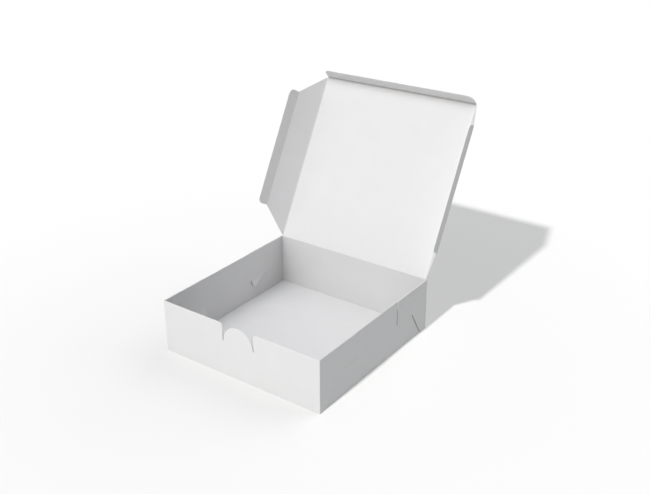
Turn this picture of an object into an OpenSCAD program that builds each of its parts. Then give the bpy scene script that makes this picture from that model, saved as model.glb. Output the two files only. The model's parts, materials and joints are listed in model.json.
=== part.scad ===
// Tuck box: a shallow tray folded from one sheet of white paperboard, with a hinged lid whose side
// flaps and front flap tuck inside the walls. X runs along the front, Y to the hinge, Z up.
// The origin is the middle of the underside.

/* [Board] */
// Thickness of the paperboard
board = 0.5; // [0.3:0.05:0.8]
// Gap between two layers of board that lie on each other
lap_gap = 0.08; // [0.05:0.01:0.2]
// How far the board bulges on each side of a crease
crease_bulge = 0.05; // [0.03:0.01:0.1]
// Gap left beside a crease, so that the panel there can turn
fold_gap = 0.06; // [0.04:0.01:0.15]

/* [Tray] */
// Width over the corner flaps
box_w = 200; // [160:1:300]
// Depth from the face of the front wall to the face of the back wall
box_d = 198; // [160:1:300]
// Height of the walls
box_h = 60; // [54:1:90]

/* [Thumb notch] */
// Width of the notch in the front wall
notch_w = 39.8; // [30:0.2:60]
// Radius where the sides of the notch run into the rim
notch_r = 3; // [1:0.5:5]
// Slit between the round tab and each side of the notch
tab_slit = 0.8; // [0.4:0.1:2]
// How far the top of the round tab lies below the rim
tab_drop = 0.4; // [0:0.1:3]
// Height of the tab's straight sides, below its half disc
tab_side = 0.5; // [0.2:0.1:8]

/* [Corner locks] */
// Length of a corner flap along the side wall
lock_len = 60; // [50:1:70]
// Length of the slit in the side wall, from the end of the flap
lock_slit_len = 30; // [20:1:35]
// Height of the slit above the underside
lock_slit_z = 30.5; // [26:0.5:36]
// Height over which the board passes through the slit
lock_pass_h = 2; // [1.5:0.1:4]
// How far the tongue reaches below the slit
tongue_drop = 13; // [10:0.5:18]
// Radius of the tongue's nose
tongue_r = 4; // [2:0.5:6]
// Where the slanted edge of the corner flap meets the bottom, from the corner
lock_foot = 11; // [6:0.5:14]

/* [Lid] */
// Clearance between a side flap and the wall beside it, with the lid closed
side_clear = 0.22; // [0.15:0.01:0.6]
// Clearance between the lid's front crease and the front wall, with the lid closed
front_clear = 0.4; // [0.3:0.05:1.5]
// Distance from a flap's end to the corner of the lid
corner_gap = 1; // [0.8:0.1:3]
// Width of a side flap, from the lid to the crease of its lip
flap_w = 30.8; // [20:0.2:36]
// How far the slanted end of a side flap runs in from the hinge
flap_cut_back = 30.4; // [24:0.2:40]
// How far the slanted end of a side flap runs in from the lid's front
flap_cut_front = 28.5; // [20:0.5:40]
// Width of the lip along a side flap
lip_w = 14.6; // [10:0.2:16]
// Corner radius of the lip
lip_r = 6.5; // [2:0.5:9]
// Width of the front flap
tuck_w = 15.2; // [10:0.2:24]
// Corner radius of the front flap
tuck_r = 8.5; // [2:0.5:9]

/* [Pose] */
// Angle of the lid from closed
lid_open = 118.6; // [95:0.1:180]
// Angle of a side flap outwards from square to the lid
flap_splay = 30.9; // [0:0.1:50]
// Bend of a lip inwards from its flap
lip_bend = 22.7; // [0:0.1:40]
// Angle between the lid and the front flap
tuck_angle = 105.5; // [92:0.1:140]

/* [Folding limits] */
// Smallest angle that the lid makes with the back wall
lid_fold_min = 90; // [80:1:100]
// Smallest angle that a side flap makes with the lid
flap_fold_min = 69; // [60:1:90]
// Smallest angle that the front flap makes with the lid
tuck_fold_min = 84; // [75:1:90]

/* [Hidden] */
$fn = 64;
arc_steps = 24;
eps = 0.01;
paper = [0.93, 0.93, 0.93];

// Half width and half depth of the sheet's faces
lap_x = box_w / 2 - board;
side_out = lap_x - lap_gap;
side_in = side_out - board;
front_in = box_d / 2 - board;
tongue_x = side_in - lap_gap - board;

// The lid turns on a crease along the top of the back wall, level with the rim when it is closed
hinge_y = box_d / 2 - board / 2;
hinge_z = box_h + board / 2;
lid_len = hinge_y + front_in - front_clear - board / 2;
lid_half = side_in - side_clear - board / 2;

// Heights where the board starts and ends its way through a slit
pass_top = lock_slit_z + lock_pass_h / 2;
pass_foot = lock_slit_z - lock_pass_h / 2;

// Radius and centre height of the round tab
tab_r = notch_w / 2 - tab_slit;
tab_z = box_h - tab_drop - tab_r;
notch_foot = tab_z - tab_side;

crease_r = board / 2 + crease_bulge;

// Distance from a crease at which two sheets that fold to this angle no longer meet
function fold_cut(angle) = crease_r / tan(angle / 2) + fold_gap;

// Points along an arc, from one angle to another
function arc(centre, r, from, to) =
    [for (i = [0:arc_steps]) let (a = from + (to - from) * i / arc_steps) centre + r * [cos(a), sin(a)]];

// Direction of the line from p that touches the circle on its right-hand side
function touch_angle(p, centre, r) =
    atan2(centre[1] - p[1], centre[0] - p[0]) - asin(r / norm(centre - p));

// A flat piece of board, its middle in the XY plane
module sheet() {
    linear_extrude(board, center = true) children();
}

// A round crease, along X or along Y from the origin
module crease_x(length) {
    rotate([0, 90, 0]) cylinder(r = crease_r, h = length);
}
module crease_y(length) {
    rotate([-90, 0, 0]) cylinder(r = crease_r, h = length);
}

// A panel in X and Y whose two far corners are rounded
module round_flap(x0, x1, y0, y1, r) {
    polygon(concat(
        [[x0, y0], [x1, y0]],
        arc([x1 - r, y1 - r], r, 0, 90),
        arc([x0 + r, y1 - r], r, 90, 180)
    ));
}

// The rounded fold at the foot of a wall that faces +X, its inner face at x = 0
module wall_foot(length) {
    rotate([90, 0, 0]) linear_extrude(length, center = true) intersection() {
        translate([0, board]) circle(board);
        square(board);
    }
}

// A wall above its foot, facing +X, drawn as it looks from outside with X along it and Y up
module wall_plate() {
    rotate([90, 0, 90]) linear_extrude(board) children();
}

module plain_wall(length) {
    wall_foot(length);
    wall_plate() translate([-length / 2, board]) square([length, box_h - board]);
}

// The front wall: the notch's upper corners run into the rim, and a half-round tab stands in the notch
module front_outline() {
    half = notch_w / 2;
    corner_z = box_h - notch_r;
    polygon(concat(
        [[-lap_x, board], [lap_x, board], [lap_x, box_h]],
        arc([half + notch_r, corner_z], notch_r, 90, 180),
        [[half, notch_foot], [tab_r, notch_foot]],
        arc([0, tab_z], tab_r, 0, 180),
        [[-tab_r, notch_foot], [-half, notch_foot]],
        arc([-half - notch_r, corner_z], notch_r, 0, 90),
        [[-lap_x, box_h]]
    ));
}

module front_wall() {
    rotate([0, 0, -90]) translate([front_in, 0, 0]) {
        wall_foot(2 * lap_x);
        wall_plate() front_outline();
    }
}

// The back wall ends in the crease that the lid turns on
module back_wall() {
    rotate([0, 0, 90]) translate([front_in, 0, 0]) plain_wall(2 * lap_x);
    translate([-lap_x, hinge_y, hinge_z]) crease_x(2 * lap_x);
    translate([-lap_x, front_in, box_h - eps]) cube([2 * lap_x, board, hinge_z - box_h + eps]);
}

// Section of the board on its way through the side wall, with room around it
module pass_outline(room) {
    polygon([
        [tongue_x, pass_foot + room],
        [lap_x, pass_top + room],
        [lap_x + board, pass_top - room],
        [tongue_x + board, pass_foot - room]
    ]);
}

// The pass through the right wall at the front corner, drawn out along the slit
module slit_pass(room) {
    translate([0, lock_len - box_d / 2 + room, 0]) rotate([90, 0, 0])
        linear_extrude(lock_slit_len + 2 * room) pass_outline(room);
}

module right_wall() {
    difference() {
        translate([side_in, 0, 0]) plain_wall(2 * (front_in - lap_gap));
        for (turn = [0, 1]) mirror([0, turn, 0]) slit_pass(lap_gap);
    }
}

// A corner flap from the corner along the wall: square above, slanted from the slit to the bottom
module lock_outline() {
    polygon([
        [board, board],
        [lock_foot, board],
        [lock_len - lock_slit_len, pass_top],
        [lock_len, pass_top],
        [lock_len, box_h],
        [board, box_h]
    ]);
}

// The tongue below the slit: straight on its leading edge, a round nose and a slanted edge
module tongue_outline() {
    root = [lock_len - lock_slit_len, pass_foot];
    nose = [lock_len - tongue_r, lock_slit_z - tongue_drop + tongue_r];
    slant = touch_angle(root, nose, tongue_r);
    polygon(concat([root, [lock_len, pass_foot]], arc(nose, tongue_r, 0, slant - 90)));
}

// The lock at the right front corner: the front wall's end wraps round the outside of the right wall,
// passes through the slit and ends in a tongue inside
module corner_lock() {
    translate([lap_x, -front_in, board]) linear_extrude(box_h - board) intersection() {
        circle(board);
        translate([0, -board]) square(board);
    }
    translate([lap_x, -box_d / 2, 0]) rotate([90, 0, 90]) linear_extrude(board) lock_outline();
    slit_pass(0);
    translate([tongue_x, -box_d / 2, 0]) rotate([90, 0, 90]) linear_extrude(board) tongue_outline();
}

module tray() {
    color(paper) {
        translate([-side_in, -front_in, 0]) cube([2 * side_in, 2 * front_in, board]);
        front_wall();
        back_wall();
        for (side = [0, 1]) mirror([side, 0, 0]) {
            right_wall();
            for (end = [0, 1]) mirror([0, end, 0]) corner_lock();
        }
    }
}

// The lid's own frame: X along the hinge, Y from the hinge to the lid's front, Z to its inner side
module on_lid() {
    translate([0, hinge_y, hinge_z]) rotate([180 - lid_open, 0, 0]) children();
}

module lid_panel() {
    start = fold_cut(lid_fold_min);
    color(paper) on_lid() {
        translate([0, start, 0]) sheet() translate([-lid_half, 0]) square([2 * lid_half, lid_len - start]);
        for (side = [-1, 1]) translate([side * lid_half, corner_gap, 0]) crease_y(lid_len - 2 * corner_gap);
        translate([corner_gap - lid_half, lid_len, 0]) crease_x(2 * (lid_half - corner_gap));
    }
}

// A side flap with X across its width from the lid and Y along the lid, a trapezium with a bent lip
module side_flap() {
    start = fold_cut(flap_fold_min);
    lip_end = lid_len - flap_cut_front;
    sheet() polygon([
        [start, corner_gap],
        [flap_w, flap_cut_back],
        [flap_w, lip_end],
        [start, lid_len - corner_gap]
    ]);
    translate([flap_w, 0, 0]) rotate([0, -lip_bend, 0]) {
        sheet() rotate(-90) round_flap(-lip_end, -flap_cut_back, 0, lip_w, lip_r);
        translate([0, flap_cut_back, 0]) crease_y(lip_end - flap_cut_back);
    }
}

module right_side_flap() {
    color(paper) on_lid() translate([lid_half, 0, 0]) rotate([0, flap_splay - 90, 0]) side_flap();
}

module left_side_flap() {
    mirror([1, 0, 0]) right_side_flap();
}

module front_tuck_flap() {
    half = lid_half - corner_gap;
    color(paper) on_lid() translate([0, lid_len, 0]) rotate([180 - tuck_angle, 0, 0])
        sheet() round_flap(-half, half, fold_cut(tuck_fold_min), tuck_w, tuck_r);
}

tray();
lid_panel();
left_side_flap();
right_side_flap();
front_tuck_flap();
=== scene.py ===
import json
import math

import bpy
import numpy as np
from mathutils import Matrix, Vector


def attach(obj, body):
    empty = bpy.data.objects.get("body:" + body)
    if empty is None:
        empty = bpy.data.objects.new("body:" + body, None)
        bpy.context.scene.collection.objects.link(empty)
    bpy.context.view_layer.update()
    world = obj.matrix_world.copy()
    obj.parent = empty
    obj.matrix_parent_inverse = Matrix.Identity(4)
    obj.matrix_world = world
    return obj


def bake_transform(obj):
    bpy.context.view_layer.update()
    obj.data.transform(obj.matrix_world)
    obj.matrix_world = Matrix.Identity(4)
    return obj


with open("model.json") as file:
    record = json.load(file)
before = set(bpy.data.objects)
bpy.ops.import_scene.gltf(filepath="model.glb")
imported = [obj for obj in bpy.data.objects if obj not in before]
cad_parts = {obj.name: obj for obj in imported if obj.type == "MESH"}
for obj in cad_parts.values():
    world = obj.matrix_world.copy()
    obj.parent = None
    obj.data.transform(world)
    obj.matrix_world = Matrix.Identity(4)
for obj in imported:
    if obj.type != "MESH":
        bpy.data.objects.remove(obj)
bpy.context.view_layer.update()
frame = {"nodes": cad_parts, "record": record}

MM = 0.001

# The photograph's frame and the camera that was solved from the box's straight edges
IMAGE_W_PX = 650
FOCAL_PX = 919.3
SENSOR_MM = 36.0
CAMERA_MM = (526.0, -680.8, 517.6)
AIM_MM = (35.1, 0.0, 120.0)
CAMERA_ROLL_DEG = -0.21

# The board, and the lid with its flaps in the pose that the box is packed in
BOARD_MM = 0.5
FLAP_SPLAY_DEG = 30.9
TUCK_ANGLE_DEG = 105.5
LID_HALF_MM = 98.45
LID_LEN_MM = 196.6
CORNER_GAP_MM = 1.0
FLAP_W_MM = 30.8
FLAP_CUT_BACK_MM = 30.4
FLAP_CUT_FRONT_MM = 28.5

# The tray and its corner locks
BOX_D_MM = 198.0
BOX_H_MM = 60.0
SIDE_IN_MM = 98.92
SIDE_OUT_MM = 99.42
FLAP_OUT_MM = 100.0
LOCK_LEN_MM = 60.0
LOCK_SLIT_LEN_MM = 30.0
LOCK_FOOT_MM = 11.0
PASS_TOP_MM = 31.5
PASS_FOOT_MM = 29.5

# The wall's swelling round a slit: its span along and up the wall, and over what run each side dies away
SWELL_U_MM = (20.0, 72.0)
SWELL_Z_MM = (21.5, 48.0)
SWELL_RUN_U_MM = (9.0, 11.0)
SWELL_RUN_Z_MM = (5.0, 17.5)
SWELL_GRID = (30, 40)

# The tongues inside: nose, bend, and the painted shade behind them, which grows over a part of their depth
TONGUE_NOSE_MM = 17.5
TONGUE_R_MM = 4.0
TONGUE_PROUD_MM = 2.2
TONGUE_SKIN_MM = 0.62
TONGUE_BEND = 1.8
TONGUE_ROUND_SHARE = 0.97
TONGUE_SHADE = 0.9
TONGUE_SHADE_FROM = 0.35
TONGUE_SHADE_RUN = 0.4
TONGUE_GRID = (30, 14)

# The corner flaps' free corners, from where along and up the wall they lift and over what run
FLAP_LIFT_MM = 0.44
LIFT_U_MM = 42.0
LIFT_Z_MM = 40.0
LIFT_RUN_U_MM = 26.0
LIFT_RUN_Z_MM = 18.0
LIFT_OVER_MM = 0.03
LIFT_GRID = (20, 24)

# Flap rims painted darker, and painted shade in the gaps by their slanted and upright edges as width in mm
# and shade
RIM_SHADE = 0.3
RIM_STEPS = 30
SLANT_GAP_SHADE = (1.3, 0.6)
UPRIGHT_GAP_SHADE = (0.7, 0.5)
GAP_BELOW_RIM_MM = 9.0
GAP_TAPER = 0.35
GAP_OVERLAP = 0.05
GAP_STEPS = 25
BACK_GAP_SHARE = 1.0
FRONT_GAP_SHARE = 0.5

# The thumb notch, its round tab, and the painted shade at the foot of the slits between them
NOTCH_HALF_MM = 19.9
NOTCH_FOOT_MM = 40.0
TAB_R_MM = 19.1
TAB_Z_MM = 40.5
SLIT_SHADE_MM = 13.0
SLIT_LINING_MM = 0.24
SLIT_SHADE = 0.95
SLIT_SHADE_POWER = 0.6
SLIT_STEPS = 24

# How far a piece stands off the board it lies on, keeps from the board's edges, and is let into the board
SKIN_MM = 0.01
CLEAR_MM = 0.02
ROOT_MM = 0.2
THIN_ROOT_MM = 0.1
LINING_ROOT_MM = 0.05

# The crease strips, and each crease's painted shade: how dark its line is, and its reach into each panel in
# mm
CREASE_SKIN_MM = 0.06
CREASE_SOFT = 0.35
CREASE_STEPS = 41
CREASE_SHADE_SPREAD = 0.55
LID_CREASE_SHADE_REACH = (0.10, 1.4)
FLAP_CREASE_SHADE_REACH = (0.05, 1.4)
TUCK_CREASE_SHADE_REACH = (0.5, 2.6)
SHARP_DEG = 40

# The board's finish, and the colour, reach and strength of the painted shade in its inner corners
BOARD_HEX = ("#dadada", "#dfdfdf")
PAINTED_SHADE_HEX = "#4c4c4d"
BOARD_ROUGHNESS = (0.52, 0.66)
BOARD_IOR = 1.5
CLOUD_MM = 26
CLOUD_DETAIL = 3.0
TOOTH_MM = 0.7
TOOTH_DETAIL = 2.0
TOOTH_BUMP = 0.12
TOOTH_DEPTH_MM = 0.02
CORNER_MM = 60
CORNER_SHADE = 0.45
CORNER_POWER = 1.75
CORNER_SAMPLES = 8

# The floor, with its glow near the box and far from it
FLOOR_M = 8.0
FLOOR_DROP_MM = 0.02
FLOOR_HEX = "#a1a1a0"
FLOOR_GLOW = (0.288, 0.335)
FLOOR_GLOW_MM = (250, 600)
WHITE = (1, 1, 1, 1)

# The lamps: azimuth from the front towards the right, elevation, width of the source, strength and colour
BOX_LAMPS = {
    "top_softbox": (0, 62, 36, 0.83, "#f4f8ff"),
    "front_softbox": (0, 52, 36, 0.885, "#fff9f3"),
    "left_softbox": (-34, 30, 60, 0.71, "#fff9f3"),
    "high_left_softbox": (-22, 64, 40, 0.30, "#f4f8ff"),
    "high_right_softbox": (30, 60, 40, 0.04, "#f4f8ff"),
    "rear_softbox": (180, 40, 60, 0.30, "#ffffff"),
}
FLOOR_LAMPS = {
    "shadow_sun": (-1.25, 44, 2.4, 5.1, "#ffffff"),
    "back_softbox": (155, 30, 70, 3.0, "#ffffff"),
}
CARD_M = (0, -0.30, 0.03)
CARD_AIM_M = (0, -0.05, 0.03)
CARD_SIZE_M = (0.4, 0.1)
CARD_WATTS = 0.135
WORLD_HEX = "#f6f9ff"
WORLD_STRENGTH = 0.315


def linear(hex_colour):
    """An sRGB hex colour as linear RGBA."""
    rgb = [int(hex_colour[i:i + 2], 16) / 255 for i in (1, 3, 5)]
    return [c / 12.92 if c <= 0.04045 else ((c + 0.055) / 1.055) ** 2.4 for c in rgb] + [1.0]


def node(tree, kind, links=(), **settings):
    """Add a node with its properties and socket values by name, and link its sockets to other nodes'."""
    made = tree.nodes.new(kind)
    for name, value in settings.items():
        if hasattr(made, name):
            setattr(made, name, value)
        else:
            made.inputs[name.replace("_", " ")].default_value = value
    for name, source in links:
        tree.links.new(source, made.inputs[name])
    return made


def per_metre(size_mm):
    """The texture scale that gives a pattern of this size on Object coordinates."""
    return 1 / (size_mm * MM)


def new_material(name):
    """A material with an empty node tree, and that tree."""
    material = bpy.data.materials.new(name)
    material.use_nodes = True
    material.node_tree.nodes.clear()
    return material, material.node_tree


def showing_ray(tree):
    """A socket that is 1 for a ray that shows the background, from the camera, a mirror or glass, and 0
    for light that is scattered onto the box."""
    path = node(tree, "ShaderNodeLightPath").outputs
    shown = path["Is Camera Ray"]
    for kind in ("Is Glossy Ray", "Is Transmission Ray"):
        either = node(tree, "ShaderNodeMath", [(0, shown), (1, path[kind])], operation="MAXIMUM")
        shown = either.outputs["Value"]
    return shown


def white_paperboard():
    """Bleached sulphate board, clay-coated and calendered: matte white, faintly clouded by its fibres,
    with a fine tooth that is drawn at 0.7 mm, coarser than the real one, so that it shows. Its colour
    carries painted shade: inner corners are painted darker, by a power of how closed in they are,
    and so is what the attribute "shade" names: painted shade along the creases, on the cut edges and
    in the gaps between two layers of board, where little light gets in."""
    material, tree = new_material("white_paperboard")
    place = node(tree, "ShaderNodeTexCoord").outputs["Object"]
    cloud = node(
        tree, "ShaderNodeTexNoise", [("Vector", place)], Scale=per_metre(CLOUD_MM), Detail=CLOUD_DETAIL
    )
    tooth = node(
        tree, "ShaderNodeTexNoise", [("Vector", place)], Scale=per_metre(TOOTH_MM), Detail=TOOTH_DETAIL
    )
    tint = node(
        tree,
        "ShaderNodeMix",
        [("Factor", cloud.outputs["Fac"])],
        data_type="RGBA",
        A=linear(BOARD_HEX[0]),
        B=linear(BOARD_HEX[1]),
    )
    # Painted shade: ambient occlusion darkens the base colour in inner corners, and the "shade" attribute
    # adds more
    corner = node(
        tree,
        "ShaderNodeAmbientOcclusion",
        samples=CORNER_SAMPLES,
        only_local=True,
        Distance=CORNER_MM * MM,
    )
    closed = node(tree, "ShaderNodeMapRange", [("Value", corner.outputs["AO"])], From_Min=1.0, From_Max=0.0)
    deep = node(tree, "ShaderNodeMath", [(0, closed.outputs["Result"])], operation="POWER")
    deep.inputs[1].default_value = CORNER_POWER
    shade = node(tree, "ShaderNodeAttribute", attribute_name="shade")
    soft = node(
        tree,
        "ShaderNodeMapRange",
        [("Value", deep.outputs["Value"]), ("To Min", shade.outputs["Fac"])],
        To_Max=CORNER_SHADE,
    )
    dark = node(
        tree,
        "ShaderNodeMix",
        [("Factor", soft.outputs["Result"])],
        data_type="RGBA",
        B=linear(PAINTED_SHADE_HEX),
    )
    tree.links.new(tint.outputs["Result"], dark.inputs["A"])
    rough = node(
        tree,
        "ShaderNodeMapRange",
        [("Value", tooth.outputs["Fac"])],
        To_Min=BOARD_ROUGHNESS[0],
        To_Max=BOARD_ROUGHNESS[1],
    )
    bump = node(
        tree,
        "ShaderNodeBump",
        [("Height", tooth.outputs["Fac"])],
        Strength=TOOTH_BUMP,
        Distance=TOOTH_DEPTH_MM * MM,
    )
    shader = node(
        tree,
        "ShaderNodeBsdfPrincipled",
        [
            ("Base Color", dark.outputs["Result"]),
            ("Roughness", rough.outputs["Result"]),
            ("Normal", bump.outputs["Normal"]),
        ],
        IOR=BOARD_IOR,
    )
    node(tree, "ShaderNodeOutputMaterial", [("Surface", shader.outputs["BSDF"])])
    return material


def seamless_white_paper():
    """The floor, a sweep of matte uncoated paper. Where it is seen it also glows a little, more so away
    from the box, so that it runs out to plain white and keeps the soft shade round the box."""
    material, tree = new_material("seamless_white_paper")
    place = node(tree, "ShaderNodeTexCoord").outputs["Object"]
    away = node(tree, "ShaderNodeVectorMath", [("Vector", place)], operation="LENGTH")
    level = node(
        tree,
        "ShaderNodeMapRange",
        [("Value", away.outputs["Value"])],
        From_Min=FLOOR_GLOW_MM[0] * MM,
        From_Max=FLOOR_GLOW_MM[1] * MM,
        To_Min=FLOOR_GLOW[0],
        To_Max=FLOOR_GLOW[1],
    )
    paper = node(tree, "ShaderNodeBsdfDiffuse", Color=linear(FLOOR_HEX)).outputs["BSDF"]
    glow = node(tree, "ShaderNodeEmission", [("Strength", level.outputs["Result"])], Color=WHITE)
    both = node(tree, "ShaderNodeAddShader", [(0, paper), (1, glow.outputs["Emission"])])
    seen = node(
        tree,
        "ShaderNodeMixShader",
        [("Fac", showing_ray(tree)), (1, paper), (2, both.outputs["Shader"])],
    )
    node(tree, "ShaderNodeOutputMaterial", [("Surface", seen.outputs["Shader"])])
    return material


def unit(v):
    """The vector v at length 1."""
    v = np.array(v, float)
    return v / np.linalg.norm(v)


def smooth(x):
    """A smooth step from 0 to 1, x^2 * (3 - 2x)."""
    x = np.clip(x, 0, 1)
    return x * x * (3 - 2 * x)


def ramp(t):
    """A ramp that rounds the bend at 0: (t + sqrt(t^2 + soft^2)) / 2."""
    return (t + np.sqrt(t * t + CREASE_SOFT ** 2)) / 2


def grid_faces(rows, columns):
    """The quads of a grid of points, row after row."""
    index = np.arange(rows * columns).reshape(rows, columns)
    corners = [index[:-1, :-1], index[:-1, 1:], index[1:, 1:], index[1:, :-1]]
    return np.stack(corners, axis=-1).reshape(-1, 4)


def closed_sheet(front, back):
    """Points and quads of a sheet between two grids, closed round its border."""
    rows, columns = front.shape[:2]
    count = rows * columns
    index = np.arange(count).reshape(rows, columns)
    rim = np.concatenate([index[0], index[1:, -1], index[-1, -2::-1], index[-2:0:-1, 0]])
    ahead = np.roll(rim, -1)
    quads = grid_faces(rows, columns)
    edge = np.stack([rim, ahead, ahead + count, rim + count], axis=1)
    place = np.concatenate([front.reshape(-1, 3), back.reshape(-1, 3)])
    return place, np.concatenate([quads, quads[:, ::-1] + count, edge[:, ::-1]])


def mesh_piece(name, parts, material):
    """A mesh object at the origin from closed parts, each an array of points in metres, an array of
    quads, and the shade of its points. A part whose faces look inwards is turned round."""
    points, faces, shades = [], [], []
    start = 0
    for place, quads, shade in parts:
        a, b, c, d = (place[quads[:, k]] - place.mean(0) for k in range(4))
        outward = np.einsum("ij,ij->", np.cross(c - a, d - b), a + b + c + d)
        quads = quads if outward > 0 else quads[:, ::-1]
        points.append(place)
        faces.append(quads + start)
        shades.append(np.broadcast_to(shade, len(place)))
        start += len(place)
    mesh = bpy.data.meshes.new(name)
    mesh.from_pydata(np.concatenate(points).tolist(), [], np.concatenate(faces).tolist())
    mesh.materials.append(material)
    mesh.polygons.foreach_set("use_smooth", np.ones(len(mesh.polygons), bool))
    mesh.set_sharp_from_angle(angle=math.radians(SHARP_DEG))
    shading = mesh.attributes.new("shade", "FLOAT", "POINT")
    shading.data.foreach_set("value", np.concatenate(shades).astype(float))
    piece = bpy.data.objects.new(name, mesh)
    bpy.context.scene.collection.objects.link(piece)
    return piece


def crease_strip(name, pivot, along, near, far, span, slant, shade_reach, material):
    """Board bent across a crease. Its middle line is a hyperbola whose asymptotes run into the two
    panels, P(t) = reach * (ramp(-t) * near + ramp(t) * far). It is given the board's thickness on both
    sides and carried along the crease; slant is how fast each end runs in along the far panel, where
    that panel is cut at an angle. Painted shade darkens the line of the crease and falls off across it
    as exp(-(t / spread)^2)."""
    t = np.linspace(-1, 1, CREASE_STEPS)
    shade, reach_mm = shade_reach
    reach = reach_mm * MM
    middle = reach * (ramp(-t)[:, None] * near + ramp(t)[:, None] * far)
    tangent = np.gradient(middle, axis=0)
    tangent /= np.linalg.norm(tangent, axis=1)[:, None]
    out = np.cross(along, tangent) * (BOARD_MM / 2 + CREASE_SKIN_MM) * MM
    section = np.concatenate([middle + out, (middle - out)[::-1]])
    run = reach * np.concatenate([ramp(t), ramp(t)[::-1]])
    first = pivot + section + np.outer(span[0] + slant[0] * run, along)
    last = pivot + section + np.outer(span[1] - slant[1] * run, along)
    count = 2 * CREASE_STEPS
    ring = np.arange(count)
    ahead = np.roll(ring, -1)
    sides = np.stack([ring, ahead, ahead + count, ring + count], axis=1)
    low = np.arange(CREASE_STEPS - 1)
    high = count - 1 - low
    cap = np.stack([low, high, high - 1, low + 1], axis=1)
    faces = np.concatenate([sides, cap, cap[:, ::-1] + count])
    dark = shade * np.exp(-((np.concatenate([t, t[::-1]]) / CREASE_SHADE_SPREAD) ** 2))
    piece = mesh_piece(name, [(np.concatenate([first, last]), faces, np.tile(dark, 2))], material)
    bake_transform(piece)


def wall_sheet(u, z, height, base_mm):
    """A grid of points on the right wall at the front corner: u is the distance from the corner and z
    the height, both in mm, and the points stand off the plane x = base by the height given."""
    return np.stack(np.broadcast_arrays(base_mm + height, u - BOX_D_MM / 2, z), axis=-1)


def painted_corner_shade(u, z):
    """How far the board's painted corner shade reaches a point of a wall, u mm from the next wall's face and
    z mm up: each of that wall and the bottom closes (acos(s) - s * sqrt(1 - s^2)) / pi of what the
    point sees, with s its distance over the shading's reach. It lets a piece that lies on the wall carry
    the same painted corner shade as the wall's colour."""
    shares = []
    for distance in (u - BOARD_MM, z - BOARD_MM):
        s = np.clip(distance / CORNER_MM, 0, 1)
        shares.append((np.arccos(s) - s * np.sqrt(1 - s * s)) / math.pi)
    closed = shares[0] + shares[1] - shares[0] * shares[1]
    return CORNER_SHADE * closed ** CORNER_POWER


def lock_swell():
    """Inside the right wall at the front corner: the wall swells gently round the slit, where the
    flap's board pushes through it. A hump of four smooth steps, so that it runs out into the wall on
    all sides."""
    rows, columns = SWELL_GRID
    u = np.linspace(*SWELL_U_MM, columns)
    z = np.linspace(*SWELL_Z_MM[::-1], rows)[:, None]
    hump = smooth((SWELL_Z_MM[1] - z) / SWELL_RUN_Z_MM[1]) * smooth((z - SWELL_Z_MM[0]) / SWELL_RUN_Z_MM[0])
    hump = hump * smooth((u - SWELL_U_MM[0]) / SWELL_RUN_U_MM[0])
    hump = hump * smooth((SWELL_U_MM[1] - u) / SWELL_RUN_U_MM[1])
    face = wall_sheet(u, z, -TONGUE_SKIN_MM * hump - SKIN_MM, SIDE_IN_MM)
    # The swell's points carry the wall's painted corner shade
    return *closed_sheet(face, wall_sheet(u, z, ROOT_MM, SIDE_IN_MM)), np.tile(painted_corner_shade(u, z).ravel(), 2)


def lock_tongue():
    """A tongue inside the right wall at the front corner, below the slit. It stands further off the
    wall towards its nose, by proud * depth^bend. Its leading edge is upright, its nose round, and its
    other edge slants from the slit's end to the nose. The second part is a thin sheet on the wall behind
    it, painted dark as the shade there; both parts carry the wall's painted corner shade."""
    rows, columns = TONGUE_GRID
    fall = np.sin(np.linspace(0, TONGUE_ROUND_SHARE * math.pi / 2, rows))
    z = PASS_FOOT_MM - (PASS_FOOT_MM - TONGUE_NOSE_MM) * fall
    nose = np.array([LOCK_LEN_MM - TONGUE_R_MM, TONGUE_NOSE_MM + TONGUE_R_MM])
    root = np.array([LOCK_LEN_MM - LOCK_SLIT_LEN_MM, PASS_FOOT_MM])
    away = nose - root
    turn = math.atan2(away[1], away[0]) - math.asin(TONGUE_R_MM / np.hypot(*away))
    round_nose = np.sqrt(np.clip(TONGUE_R_MM ** 2 - (z - nose[1]) ** 2, 0, None))
    lead = np.where(z > nose[1], LOCK_LEN_MM, nose[0] + round_nose)
    slant = root[0] + (PASS_FOOT_MM - z) / -math.tan(turn)
    back = np.where(z > nose[1] - TONGUE_R_MM * math.cos(turn), slant, nose[0] - round_nose)
    u = back[:, None] + (lead - back)[:, None] * np.linspace(0, 1, columns)
    z = z[:, None]
    depth = (PASS_FOOT_MM - z) / (PASS_FOOT_MM - TONGUE_NOSE_MM)
    stand = TONGUE_SKIN_MM + TONGUE_PROUD_MM * depth ** TONGUE_BEND
    tongue = [wall_sheet(u, z, off, SIDE_IN_MM) for off in (-stand, BOARD_MM - stand)]
    behind = [wall_sheet(u, z, off - TONGUE_SKIN_MM, SIDE_IN_MM) for off in (0, THIN_ROOT_MM)]
    wall_dark = painted_corner_shade(u, z)
    dark = np.maximum(wall_dark, TONGUE_SHADE * smooth((depth - TONGUE_SHADE_FROM) / TONGUE_SHADE_RUN))
    return (
        (*closed_sheet(*tongue), np.tile(wall_dark.ravel(), 2)),
        (*closed_sheet(*behind), np.tile(dark.ravel(), 2)),
    )


def flap_lift():
    """Outside the right wall at the front corner: the free upper corner of the corner flap stands off
    the wall, by lift * (smooth step towards the edge) * (smooth step towards the rim)."""
    rows, columns = LIFT_GRID
    u = np.linspace(LIFT_U_MM, LOCK_LEN_MM + LIFT_OVER_MM, columns)
    z = np.linspace(LIFT_Z_MM, BOX_H_MM - CLEAR_MM, rows)[:, None]
    lift = FLAP_LIFT_MM * smooth((u - LIFT_U_MM) / LIFT_RUN_U_MM) * smooth((z - LIFT_Z_MM) / LIFT_RUN_Z_MM)
    face = wall_sheet(u, z, SKIN_MM + lift, FLAP_OUT_MM)
    return *closed_sheet(face, wall_sheet(u, z, 0, SIDE_OUT_MM)), 0.0


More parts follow.
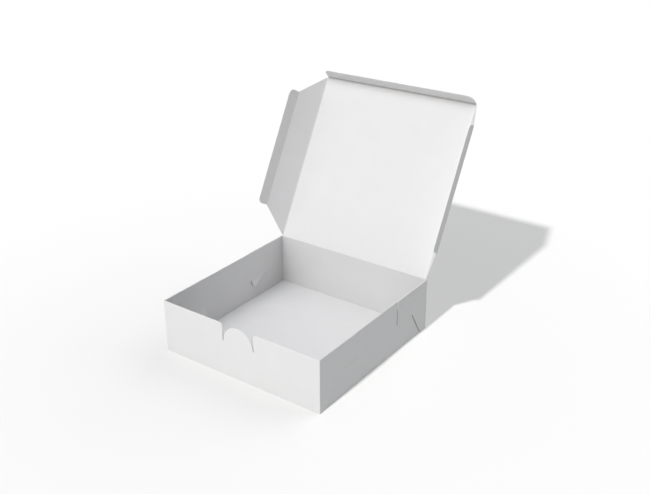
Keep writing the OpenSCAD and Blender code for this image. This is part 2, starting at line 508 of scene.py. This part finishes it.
def flap_rim():
    """The cut upper edge of the corner flap outside the right wall at the front corner, as a thin strip on
    the rim whose colour is painted a little darker than the board's faces."""
    u = np.linspace(BOARD_MM, LOCK_LEN_MM, RIM_STEPS)[:, None]
    x = np.array([SIDE_OUT_MM + CLEAR_MM, FLAP_OUT_MM + SKIN_MM])
    grids = [wall_sheet(u, z, x, 0) for z in (BOX_H_MM + CLEAR_MM, BOX_H_MM - ROOT_MM)]
    return *closed_sheet(*grids), RIM_SHADE


def lock_gaps(open_share):
    """Painted shade in the gaps outside the right wall at the front corner, where the corner flap stands off
    the wall: a narrow dark fillet along its slanted edge, and one along its upright edge, each thin at both
    ends by sin(pi * t)^taper. The share is how far the gap is open: it makes the fillet wider and darker."""
    foot = np.array([LOCK_FOOT_MM, BOARD_MM])
    knee = np.array([LOCK_LEN_MM - LOCK_SLIT_LEN_MM, PASS_TOP_MM])
    corner = np.array([LOCK_LEN_MM, PASS_TOP_MM])
    rim = np.array([LOCK_LEN_MM, BOX_H_MM - GAP_BELOW_RIM_MM])
    t = np.linspace(0, 1, GAP_STEPS)[:, None]
    made = []
    for first, last, (width, dark) in ((foot, knee, SLANT_GAP_SHADE), (corner, rim, UPRIGHT_GAP_SHADE)):
        edge = first + (last - first) * t
        along = (last - first) / np.hypot(*(last - first))
        out = np.array([along[1], -along[0]]) * open_share * width * np.sin(math.pi * t) ** GAP_TAPER
        low = wall_sheet(*(edge + out).T, CLEAR_MM, SIDE_OUT_MM)
        high = wall_sheet(*(edge - GAP_OVERLAP * out).T, CLEAR_MM, FLAP_OUT_MM)
        face = np.stack([low, high])
        made.append((*closed_sheet(face, face - np.array([THIN_ROOT_MM, 0, 0])), open_share * dark))
    return made


def slit_linings():
    """The cut edges of the slit on the right of the round tab: a thin lining on the notch's upright
    side and one on the tab's edge, x = sqrt(r^2 - rise^2). Both carry painted shade, darkest and
    thickest at the slit's foot, where little light gets in, and run out by a smooth step."""
    z = np.linspace(NOTCH_FOOT_MM, NOTCH_FOOT_MM + SLIT_SHADE_MM, SLIT_STEPS)[:, None]
    close = 1 - smooth((z - NOTCH_FOOT_MM) / SLIT_SHADE_MM)
    rise = np.clip(z - TAB_Z_MM, 0, None)
    u = np.array([CLEAR_MM, BOARD_MM - CLEAR_MM])
    made = []
    for edge, way in ((NOTCH_HALF_MM, -1), (np.sqrt(TAB_R_MM ** 2 - rise ** 2), 1)):
        offs = (SKIN_MM + SLIT_LINING_MM * close, -LINING_ROOT_MM)
        grids = [wall_sheet(u, z, way * off, edge) for off in offs]
        dark = np.broadcast_to(SLIT_SHADE * close ** SLIT_SHADE_POWER, grids[0].shape[:2])
        made.append((*closed_sheet(*grids), np.tile(dark.ravel(), 2)))
    return made


def at_corners(parts, ends=(-1, 1)):
    """Copies of the front right corner's closed parts, (points in mm, quads, shade), at the front,
    which is 1, and the back, which is -1, of both sides."""
    made = []
    for side in (-1, 1):
        for end in ends:
            flip = np.array([side, end, 1.0])
            for place, quads, shade in parts:
                made.append((place * flip * MM, quads, shade))
    return made


def light_group(name, state):
    """A light-linking collection that holds the floor, to be lit alone or left out."""
    made = bpy.data.collections.new(name)
    made.objects.link(floor)
    made.collection_objects[0].light_linking.link_state = state
    return made


def sun(name, azimuth, elevation, width, strength, colour, lit):
    """A sun lamp that shines from this azimuth and elevation, as wide as the angle given, on some pieces."""
    lamp = bpy.data.lights.new(name, "SUN")
    lamp.energy = strength
    lamp.angle = math.radians(width)
    lamp.color = linear(colour)[:3]
    a, e = math.radians(azimuth), math.radians(elevation)
    towards = Vector((math.sin(a) * math.cos(e), -math.cos(a) * math.cos(e), math.sin(e)))
    made = bpy.data.objects.new(name, lamp)
    made.rotation_euler = towards.to_track_quat("Z", "Y").to_euler()
    made.light_linking.receiver_collection = lit
    bpy.context.scene.collection.objects.link(made)


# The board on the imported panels
board = white_paperboard()
for cad_node in frame["nodes"].values():
    for slot in cad_node.material_slots:
        slot.material = board

# The directions of the panels at rest
joints = {j["name"]: j for j in frame["record"]["behaviour"]["joints"]}
across = np.array([1.0, 0.0, 0.0])
down = np.array([0.0, 0.0, -1.0])
lid_up = unit(joints["right_flap_fold"]["axis"])
lid_in = np.cross(across, lid_up)
splay = math.radians(FLAP_SPLAY_DEG)
tuck = math.radians(TUCK_ANGLE_DEG)
tuck_out = math.sin(tuck) * lid_in - math.cos(tuck) * lid_up

# The creases that turn: the lid's on the back wall, the two side flaps' and the front flap's on the lid
pivots = {name: np.array(joint["pos_m"]) for name, joint in joints.items()}
half = LID_HALF_MM * MM
gap = CORNER_GAP_MM * MM
lid_len = LID_LEN_MM * MM
wide = (gap - half, half - gap)
square = (0, 0)
cuts = [(cut - CORNER_GAP_MM) / FLAP_W_MM for cut in (FLAP_CUT_BACK_MM, FLAP_CUT_FRONT_MM)]
crease_strip(
    "lid_crease", pivots["lid_hinge"], across, down, lid_up, wide, square, LID_CREASE_SHADE_REACH, board
)
for side, name in ((-1, "left"), (1, "right")):
    flap_out = math.cos(splay) * lid_in + side * math.sin(splay) * across
    crease_strip(
        f"{name}_flap_crease", pivots[f"{name}_flap_fold"], lid_up, -side * across,
        flap_out, (gap, lid_len - gap), cuts, FLAP_CREASE_SHADE_REACH, board,
    )
crease_strip(
    "tuck_flap_crease", pivots["tuck_flap_fold"], across, -lid_up, tuck_out, wide,
    square, TUCK_CREASE_SHADE_REACH, board,
)

# What the corner locks and the notch add to the tray, with sheets of painted shade in the gaps and slits
back_gap_shades = at_corners(lock_gaps(BACK_GAP_SHARE), ends=(-1,))
front_gap_shades = at_corners(lock_gaps(FRONT_GAP_SHARE), ends=(1,))
corner_parts = {
    "lock_swells": at_corners([lock_swell()]),
    "lock_tongues": at_corners(lock_tongue()),
    "lock_gaps": back_gap_shades + front_gap_shades,
    "flap_lifts": at_corners([flap_lift()], ends=(-1,)),
    "flap_rims": at_corners([flap_rim()], ends=(-1,)),
    "slit_linings": at_corners(slit_linings(), ends=(1,)),
}
for name, parts in corner_parts.items():
    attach(mesh_piece(name, parts, board), "tray")

# The floor
bpy.ops.mesh.primitive_plane_add(size=FLOOR_M, location=(0, 0, -FLOOR_DROP_MM * MM))
floor = bpy.context.object
floor.name = "floor"
floor.data.materials.append(seamless_white_paper())

# The lamps for the box leave the floor out, and those for the floor leave the box out
floor_only = light_group("floor_only", "INCLUDE")
all_but_floor = light_group("all_but_floor", "EXCLUDE")
for lamps, lit in ((BOX_LAMPS, all_but_floor), (FLOOR_LAMPS, floor_only)):
    for name, values in lamps.items():
        sun(name, *values, lit)

# A white card that stands low in front of the box
card_lamp = bpy.data.lights.new("front_card", "AREA")
card_lamp.shape = "RECTANGLE"
card_lamp.size, card_lamp.size_y = CARD_SIZE_M
card_lamp.energy = CARD_WATTS
card = bpy.data.objects.new("front_card", card_lamp)
card.location = CARD_M
card.rotation_euler = (Vector(CARD_M) - Vector(CARD_AIM_M)).to_track_quat("Z", "Y").to_euler()
card.light_linking.receiver_collection = all_but_floor
bpy.context.scene.collection.objects.link(card)

# The world: an even cool fill, plain white where it is seen
world = bpy.data.worlds.new("studio")
bpy.context.scene.world = world
world.use_nodes = True
tree = world.node_tree
tree.nodes.clear()
fill = node(tree, "ShaderNodeBackground", Color=linear(WORLD_HEX), Strength=WORLD_STRENGTH)
white = node(tree, "ShaderNodeBackground", Color=WHITE, Strength=1.0)
sky = node(
    tree,
    "ShaderNodeMixShader",
    [("Fac", showing_ray(tree)), (1, fill.outputs["Background"]), (2, white.outputs["Background"])],
)
node(tree, "ShaderNodeOutputWorld", [("Surface", sky.outputs["Shader"])])

# The camera
ahead = unit(np.array(AIM_MM) - np.array(CAMERA_MM))
level = unit(np.cross(ahead, (0, 0, 1)))
upright = np.cross(level, ahead)
roll = math.radians(CAMERA_ROLL_DEG)
right = math.cos(roll) * level + math.sin(roll) * upright
lens = bpy.data.cameras.new("camera")
lens.sensor_fit = "HORIZONTAL"
lens.sensor_width = SENSOR_MM
lens.lens = FOCAL_PX / IMAGE_W_PX * SENSOR_MM
camera = bpy.data.objects.new("camera", lens)
axes = np.stack([right, np.cross(right, ahead), -ahead], axis=1)
camera.matrix_world = Matrix.Translation(Vector(CAMERA_MM) * MM) @ Matrix(axes.tolist()).to_4x4()
bpy.context.scene.collection.objects.link(camera)
bpy.context.scene.camera = camera
bpy.context.scene.view_settings.view_transform = "Standard"
